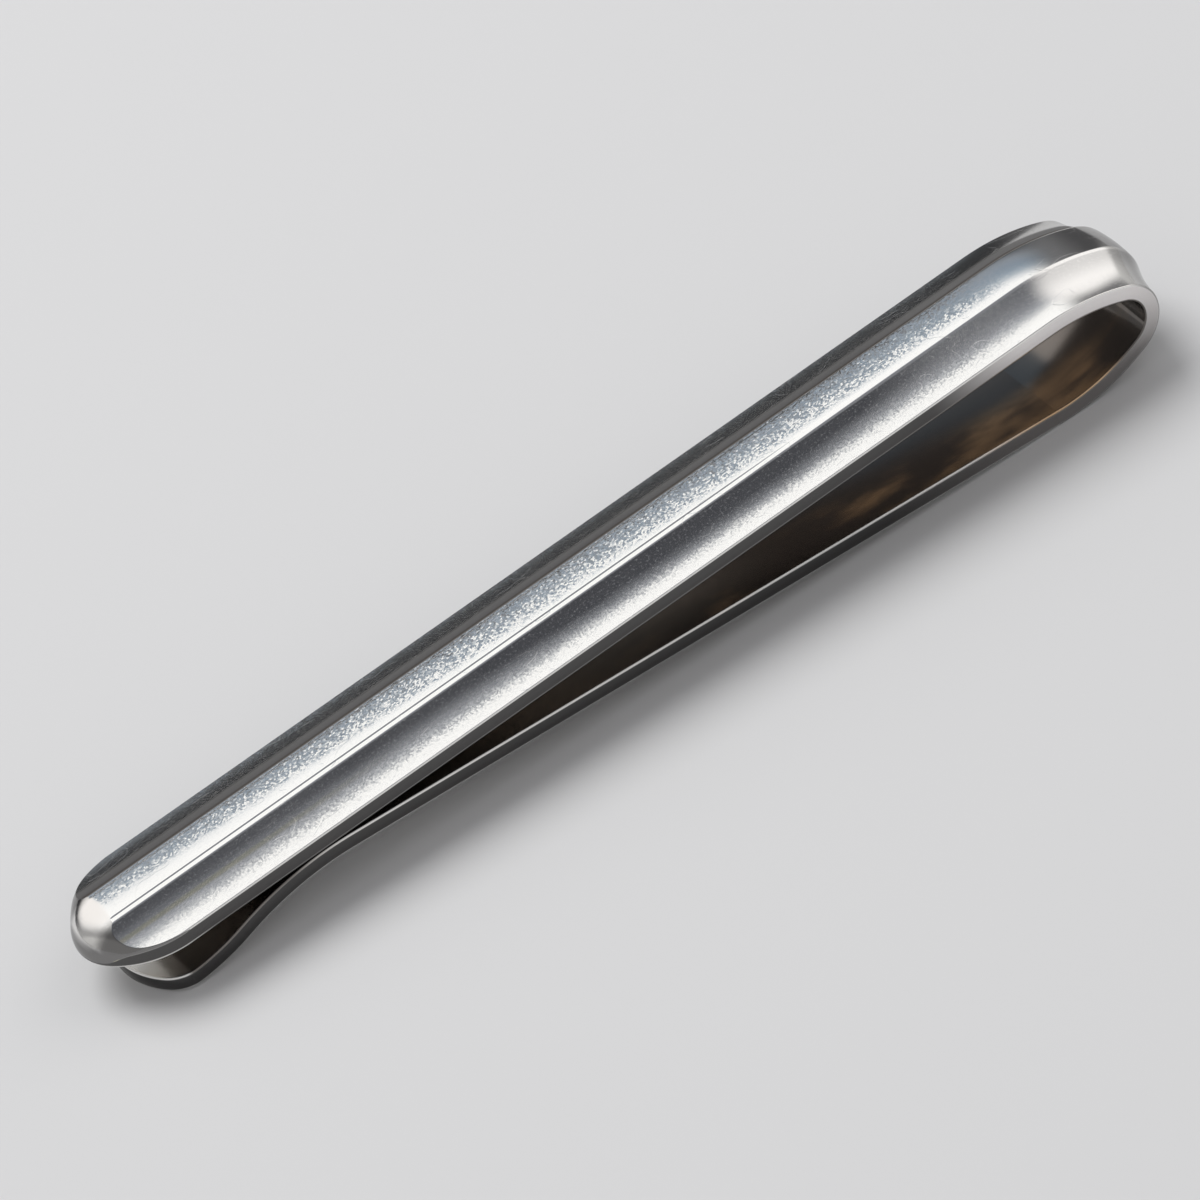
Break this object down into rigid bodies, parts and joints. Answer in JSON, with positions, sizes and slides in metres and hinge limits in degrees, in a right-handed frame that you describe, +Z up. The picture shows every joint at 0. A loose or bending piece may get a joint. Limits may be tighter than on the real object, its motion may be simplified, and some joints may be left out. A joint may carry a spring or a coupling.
{
  "type": "tie clip",
  "caption": "Slide-on tie clip bent from one polished silver strip: fluted front bar with a domed nose, rounded bow, and a plain spring leaf ending in a flared entry lip.",
  "frame": {"origin": "centre of the clip's box on the surface it lies on, leaf down, touching at the lip tip and under the bow", "axes": "+X along the clip from the nose to the bow, +Y across the strip, +Z up through the front face"},
  "size_m": [0.0558, 0.0064, 0.0066],
  "materials": {
    "polished_silver": "polished silver with fine hairline wear"
  },
  "bodies": {
    "bar": {"front_bar": "polished_silver", "bow": "polished_silver"},
    "leaf": {"spring_leaf": "polished_silver", "entry_lip": "polished_silver"}
  },
  "joints": [
    {"name": "leaf_flex", "type": "hinge", "parent": "leaf", "child": "bar", "pos_m": [0.02108, 0, 0.00001], "axis": [0, 1, 0], "range_deg": [0, 4.5], "stiffness_Nm_per_rad": 0.9}
  ]
}
